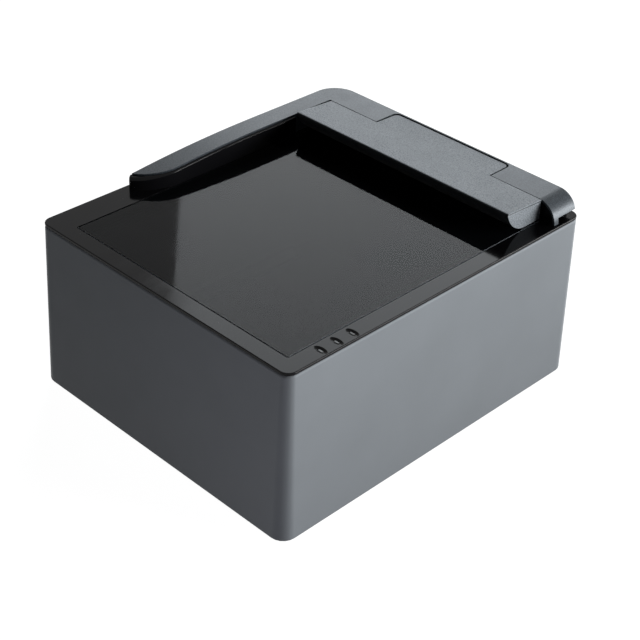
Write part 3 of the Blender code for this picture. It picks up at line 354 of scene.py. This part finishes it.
def darkGlass(name, colour, alpha, specular, smearTone, ground, edgeHighlightColour, groundRoughness):
    # polished pane with faint smears and a rough ground edge, where the attribute of that name
    # is 1; the edge's pale colour is a painted highlight
    material, tree, shader = newMaterial(name)
    smears = noise(tree, objectCoords(tree, (0.5, 1, 1)), size=18.0, detail=6.0, roughness=0.7)
    tone = shadeBetween(tree, spread(tree, smears), colour, times(colour, smearTone))
    edge = addNode(tree, "ShaderNodeAttribute", attribute_name=ground)
    # painted highlight: the ground edge takes a pale colour
    tone = blendTo(tree, edge.outputs["Fac"], tone, edgeHighlightColour)
    tree.links.new(tone, shader.inputs["Base Color"])
    rough = addNode(tree, "ShaderNodeMath", operation="MULTIPLY_ADD")
    tree.links.new(edge.outputs["Fac"], rough.inputs[0])
    rough.inputs[1].default_value = groundRoughness
    tree.links.new(spread(tree, smears, low=0.02, high=0.07), rough.inputs[2])
    tree.links.new(rough.outputs[0], shader.inputs["Roughness"])
    shader.inputs["Alpha"].default_value = alpha
    shader.inputs["Specular IOR Level"].default_value = specular
    return material


finishes = {
    "case_grey": mouldedPlastic(
        "caseGrey", (0.205, 0.223, 0.240), roughness=0.45, grain=0.3, grainDepth=0.012,
        mottle=0.04, specular=0.16, wear=0.2, paintedLowShade=0.75),
    "frame_grey": mouldedPlastic(
        "guideGrey", (0.043, 0.051, 0.059), roughness=0.38, grain=0.6, grainDepth=0.05,
        mottle=0.05, specular=0.27, speckle=0.5, wear=0.15),
    "flap_grey": mouldedPlastic(
        "flapGrey", (0.215, 0.236, 0.256), roughness=0.42, grain=0.6, grainDepth=0.04,
        mottle=0.04, specular=0.2, speckle=0.5, wear=0.1, under="lipShade"),
    "gloss_black": polishedPlastic(
        "glossBlack", (0.006, 0.006, 0.007), roughness=0.1, specular=0.09, dust=0.3),
    "matt_black": mouldedPlastic(
        "mattBlack", (0.012, 0.012, 0.013), roughness=0.55, grain=0.5, grainDepth=0.03,
        mottle=0.2, specular=0.3),
    "window_glass": darkGlass(
        "windowGlass", (0.004, 0.005, 0.006), alpha=0.82, specular=0.07, smearTone=1.6,
        ground="groundEdgeAndHighlight", edgeHighlightColour=(0.45, 0.50, 0.54), groundRoughness=0.5),
    "lens_glass": polishedPlastic(
        "lensGlass", (0.008, 0.006, 0.02), roughness=0.04, specular=0.8, coat=0.6),
    "rubber": softRubber("footRubber", (0.014, 0.014, 0.014), bloomTone=1.9),
    "steel": platedMetal("zincSteel", (0.6, 0.6, 0.6), roughness=0.28, dullTone=0.82),
    "circuit_board": circuitLacquer(
        "circuitBoard", mask=(0.01, 0.07, 0.03), trace=(0.02, 0.14, 0.06)),
    "milky_plastic": milkyPlastic("milkyPlastic", (0.78, 0.78, 0.75), glow=0.15),
    "indicator_lens": milkyPlastic("indicatorLens", (0.12, 0.125, 0.13), glow=0.2),
}
slotOf = {part["node"]: part["material_slot"] for part in frame["record"]["subparts"]}
print("materials ready:", len(finishes))


def bodyOf(node):
    bodies = frame["record"]["behaviour"]["bodies"]
    return next(body for body, held in bodies.items() if node in held)


def mergedCopy(node):
    # a copy of the solid, with its triangles joined to flat faces
    bm = bmesh.new()
    bm.from_mesh(nodes[node].data)
    bmesh.ops.remove_doubles(bm, verts=bm.verts, dist=0.002 * mm)
    bmesh.ops.dissolve_limit(bm, angle_limit=radians(0.3), verts=bm.verts, edges=bm.edges)
    return bm


def finishPiece(name, bm, node, edge=0.0, smooth=35):
    # stands for this node; edges sharper than smooth, in degrees, stay sharp or are rounded
    mesh = bpy.data.meshes.new(name)
    bm.to_mesh(mesh)
    bm.free()
    piece = bpy.data.objects.new(name, mesh)
    scene.collection.objects.link(piece)
    mesh.materials.append(finishes[slotOf[node]])
    mesh.shade_smooth()
    mesh.set_sharp_from_angle(angle=radians(smooth))
    if edge:
        rounding = piece.modifiers.new("edgeRounding", "BEVEL")
        rounding.width = edge * mm
        rounding.segments = 2
        rounding.limit_method = "ANGLE"
        rounding.angle_limit = radians(smooth)
        rounding.harden_normals = True
    flats = piece.modifiers.new("flatsFirst", "WEIGHTED_NORMAL")   # keeps wide flats flat
    flats.keep_sharp = True
    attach(piece, bodyOf(node))
    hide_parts(node)
    return piece


plainEdge = 0.15     # mm, rounding of the edges of every piece without a look of its own


def refine(node, edge=plainEdge):
    return finishPiece(node + "_shape", mergedCopy(node), node, edge)


guideLook = {
    "edge": 0.15,                    # mm, rounding of its edges
    "endMiddle": (64.7, 83.25),      # x and z, of the quarter round that closes its back arm
    "endRadii": (10.0, 8.2),         # outside and inside its wall
    "cornerMiddle": (-61.7, 76.0),   # x and y, of its back corner
    "cornerRadii": (12.0, 10.2),
    "facets": 8,                     # of each quarter round in the solid
    "facetReach": 0.15,              # mm, from the arc to the middle of any of its facets
    "sagged": (0.993, 0.9999),       # share of the radius, at which a halved facet's corner lies
}


def trueArc(bm, middle, along, first, radius):
    # halves each facet of a quarter round and sets the new corners on the true arc
    look = guideLook
    side = along.cross(first)

    def outward(point):
        out = point - middle
        return out - out.dot(along) * along

    for step in range(look["facets"]):
        turn = (step + 0.5) * pi / 2 / look["facets"]
        near = []
        for face in bm.faces:
            out = outward(face.calc_center_median())
            onArc = abs(out.length - radius) < look["facetReach"] * mm
            if onArc and out.dot(first) > 0 and out.dot(side) > 0:
                near.append(face)
        edges = dict.fromkeys(e for f in near for e in f.edges)
        corners = dict.fromkeys(v for f in near for v in f.verts)
        bmesh.ops.bisect_plane(bm, geom=[*near, *edges, *corners], plane_co=middle,
                               plane_no=side * cos(turn) - first * sin(turn))
    low, high = (radius * share for share in look["sagged"])
    for vert in bm.verts:
        out = outward(vert.co)
        if low < out.length < high and min(out.dot(first), out.dot(side)) > 0:
            vert.co += out.normalized() * (radius - out.length)


def makeGuide():
    look = guideLook
    bm = mergedCopy("guide_frame")
    bm.normal_update()
    across, back, up = Vector((1, 0, 0)), Vector((0, 1, 0)), Vector((0, 0, 1))
    x, z = look["endMiddle"]
    for radius in look["endRadii"]:
        trueArc(bm, (across * x + up * z) * mm, back, up, radius * mm)
    x, y = look["cornerMiddle"]
    for radius in look["cornerRadii"]:
        trueArc(bm, (across * x + back * y) * mm, up, back, radius * mm)
    finishPiece("guideCap", bm, "guide_frame", look["edge"], smooth=30)


flapLook = {
    "edge": 0.18,               # mm, rounding of its upper edges
    "edgesAbove": 91.0,         # mm, where these edges lie
    "edgesOver": 50,            # degrees, and how sharp they are
    "lipBehind": 62.0,          # mm along y, where the lip under its nose ends; faces ahead of it that look forward get painted shade
    "slope": 3.8,               # degrees, of its top
    "noseTop": (49.0, 94.95),   # mm, y and z of the nose's upper edge
    "seamUnder": 0.35,          # mm, from its top down to the seam on its ends
    "seamWidth": 0.4,
    "seamDepth": 0.8,
    "seamReach": 0.3,           # share of the width, from the seam to its strip's middle
    "endsBeyond": 58.0,         # mm left and right of the middle, where its ends lie
    "forward": 0.5,             # how far a face has to look forward to be part of the lip that gets painted shade
    "sideways": 0.9,            # and sideways to be part of an end
}


def makeFlap():
    look = flapLook
    bm = mergedCopy("press_flap")
    # painted shade: the faces marked in this attribute are darkened, on the lip under the nose
    # and inside the seams on the ends
    shade = bm.faces.layers.float.new("lipShade")
    for face in bm.faces:
        ahead = face.calc_center_median().y < look["lipBehind"] * mm
        if ahead and -face.normal.y > look["forward"]:
            face[shade] = 1.0
    edges = [e for e in bm.edges if e.calc_face_angle(0) > radians(look["edgesOver"])
             and min(v.co.z for v in e.verts) > look["edgesAbove"] * mm]
    bmesh.ops.bevel(bm, geom=edges, offset=look["edge"] * mm, segments=3, affect="EDGES",
                    profile=0.5, material=-1, clamp_overlap=False)
    lean = Vector((0, sin(radians(look["slope"])), cos(radians(look["slope"]))))
    nose = Vector((0, *look["noseTop"])) * mm
    for depth in (look["seamUnder"], look["seamUnder"] + look["seamWidth"]):
        bmesh.ops.bisect_plane(bm, geom=bm.verts[:] + bm.edges[:] + bm.faces[:],
                               plane_co=nose - lean * depth * mm, plane_no=lean)
    middle = nose - lean * (look["seamUnder"] + look["seamWidth"] / 2) * mm
    reach = look["seamWidth"] * look["seamReach"] * mm
    for side in (-1, 1):
        strip = [f for f in bm.faces if f.normal.x * side > look["sideways"]
                 and abs((f.calc_center_median() - middle).dot(lean)) < reach
                 and abs(f.calc_center_median().x) > look["endsBeyond"] * mm]
        sunk = bmesh.ops.extrude_face_region(bm, geom=strip)
        bmesh.ops.delete(bm, geom=[f for f in strip if f.is_valid], context="FACES_ONLY")
        corners = [g for g in sunk["geom"] if isinstance(g, bmesh.types.BMVert)]
        bmesh.ops.translate(bm, verts=corners, vec=(-side * look["seamDepth"] * mm, 0, 0))
        # painted shade inside the seam
        for corner in corners:
            for face in corner.link_faces:
                face[shade] = 1.0
    finishPiece("pressFlap", bm, "press_flap", smooth=30)


windowLook = {
    "ground": (0.2, 0.95),     # how far up the faces of its ground edge, rough and with a painted highlight, look, 1 is straight up
}


def makeWindow():
    least, most = windowLook["ground"]
    bm = mergedCopy("window_glass")
    ground = bm.faces.layers.float.new("groundEdgeAndHighlight")
    for face in bm.faces:
        if least < face.normal.z < most:
            face[ground] = 1.0
    finishPiece("windowPane", bm, "window_glass", smooth=20)


springFold = {
    "middles": {"flap_spring_left": -17.4, "flap_spring_right": 22.6},   # mm, along x
    "foot": (83.8, 85.3),     # mm, y and z that stay put
    "lean": radians(25),      # forward, with the cups in the flap
    "keep": 0.5,              # of the height when the flap is right up
}


def makeSpring(node):
    spring = refine(node, edge=0.0)
    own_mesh(spring)


makeGuide()
makeFlap()
makeWindow()
for node, across in springFold["middles"].items():
    makeSpring(node)
made = {"guide_frame", "press_flap", "window_glass", *springFold["middles"]}
for node in nodes:
    if node not in made:
        refine(node)
print("pieces ready")


def seenItself(tree):
    # 1 where the camera, a gloss or a glass shows a surface, 0 where it lights the reader
    path = tree.nodes.new("ShaderNodeLightPath")
    seen = path.outputs["Is Camera Ray"]
    for ray in ("Is Glossy Ray", "Is Transmission Ray"):
        seen = combine(tree, "MAXIMUM", seen, path.outputs[ray])
    return seen


def chooseShader(tree, factor, atZero, atOne):
    node = tree.nodes.new("ShaderNodeMixShader")
    tree.links.new(factor, node.inputs[0])
    tree.links.new(atZero, node.inputs[1])
    tree.links.new(atOne, node.inputs[2])
    return node.outputs[0]


floorLook = {
    "reach": 6.0,                     # m, from its middle to its sides
    "under": 0.05,                    # mm, below the feet
    "dull": (0.12, 0.12, 0.12, 1),    # what it throws back onto the reader
    "pale": (0.3, 0.3, 0.3, 1),       # what takes the reader's shadow
    "glow": 0.98,                     # its own white
}


def makeFloor():
    look = floorLook
    bm = bmesh.new()
    bmesh.ops.create_grid(bm, x_segments=1, y_segments=1, size=look["reach"],
                          matrix=Matrix.Translation((0, 0, -look["under"] * mm)))
    mesh = bpy.data.meshes.new("paleFloor")
    bm.to_mesh(mesh)
    bm.free()
    floor = bpy.data.objects.new("paleFloor", mesh)
    scene.collection.objects.link(floor)
    material, tree, shader = newMaterial("paleFloor")
    shader.inputs["Base Color"].default_value = look["dull"]
    shader.inputs["Roughness"].default_value = 0.9
    shader.inputs["Specular IOR Level"].default_value = 0.0
    pale = addNode(tree, "ShaderNodeBsdfDiffuse", Color=look["pale"])
    glow = addNode(tree, "ShaderNodeEmission", Color=(1, 1, 1, 1), Strength=look["glow"])
    both = tree.nodes.new("ShaderNodeAddShader")
    tree.links.new(pale.outputs[0], both.inputs[0])
    tree.links.new(glow.outputs[0], both.inputs[1])
    above = chooseShader(tree, seenItself(tree), shader.outputs[0], both.outputs[0])
    # clear from below, so that the underside can be looked at
    side = tree.nodes.new("ShaderNodeNewGeometry")
    clear = tree.nodes.new("ShaderNodeBsdfTransparent")
    surface = chooseShader(tree, side.outputs["Backfacing"], above, clear.outputs[0])
    tree.links.new(surface, tree.nodes["Material Output"].inputs["Surface"])
    mesh.materials.append(material)


worldLook = {
    "fill": 0.015,                 # light from all round
    "tint": (1.0, 0.98, 1.04),
}


def makeWorld():
    world = bpy.data.worlds.new("studio")
    scene.world = world
    world.use_nodes = True
    tree = world.node_tree
    fill = tree.nodes["Background"]
    fill.inputs["Color"].default_value = (*times(worldLook["tint"], worldLook["fill"]), 1)
    fill.inputs["Strength"].default_value = 1.0
    white = addNode(tree, "ShaderNodeBackground", Color=(1, 1, 1, 1), Strength=1.0)
    surface = chooseShader(tree, seenItself(tree), fill.outputs[0], white.outputs[0])
    tree.links.new(surface, tree.nodes["World Output"].inputs["Surface"])


# places and sizes in m, powers in W
softboxes = {
    "backSoftbox": {"place": (-1.05, 1.21, 0.98), "size": (0.6, 0.95), "power": 6.7,
                    "tint": (0.95, 1.0, 1.04)},
    "lowSoftbox": {"place": (-0.70, 1.37, 0.55), "size": (0.35, 0.4), "power": 1.7,
                   "tint": (0.95, 1.0, 1.04)},
    "rightSoftbox": {"place": (1.87, 1.83, 0.33), "size": (2.4, 0.8), "power": 130.0,
                     "tint": (1.0, 1.0, 1.0)},
    "cornerFill": {"place": (0.13, -0.23, 0.02), "size": (0.10, 0.04), "power": 0.055,
                   "tint": (1.0, 0.96, 1.03)},
}
softboxAim = Vector((0, 0, 0.05))     # m, near the reader's middle


def makeSoftbox(name, place, size, power, tint):
    data = bpy.data.lights.new(name, "AREA")
    data.shape = "RECTANGLE"
    data.size, data.size_y = size
    data.energy = power
    data.color = tint
    lamp = bpy.data.objects.new(name, data)
    scene.collection.objects.link(lamp)
    lamp.location = place
    lamp.visible_camera = False
    lamp.rotation_euler = (softboxAim - Vector(place)).to_track_quat("-Z", "Y").to_euler()


makeFloor()
makeWorld()
for name, box in softboxes.items():
    makeSoftbox(name, **box)
print("studio ready")
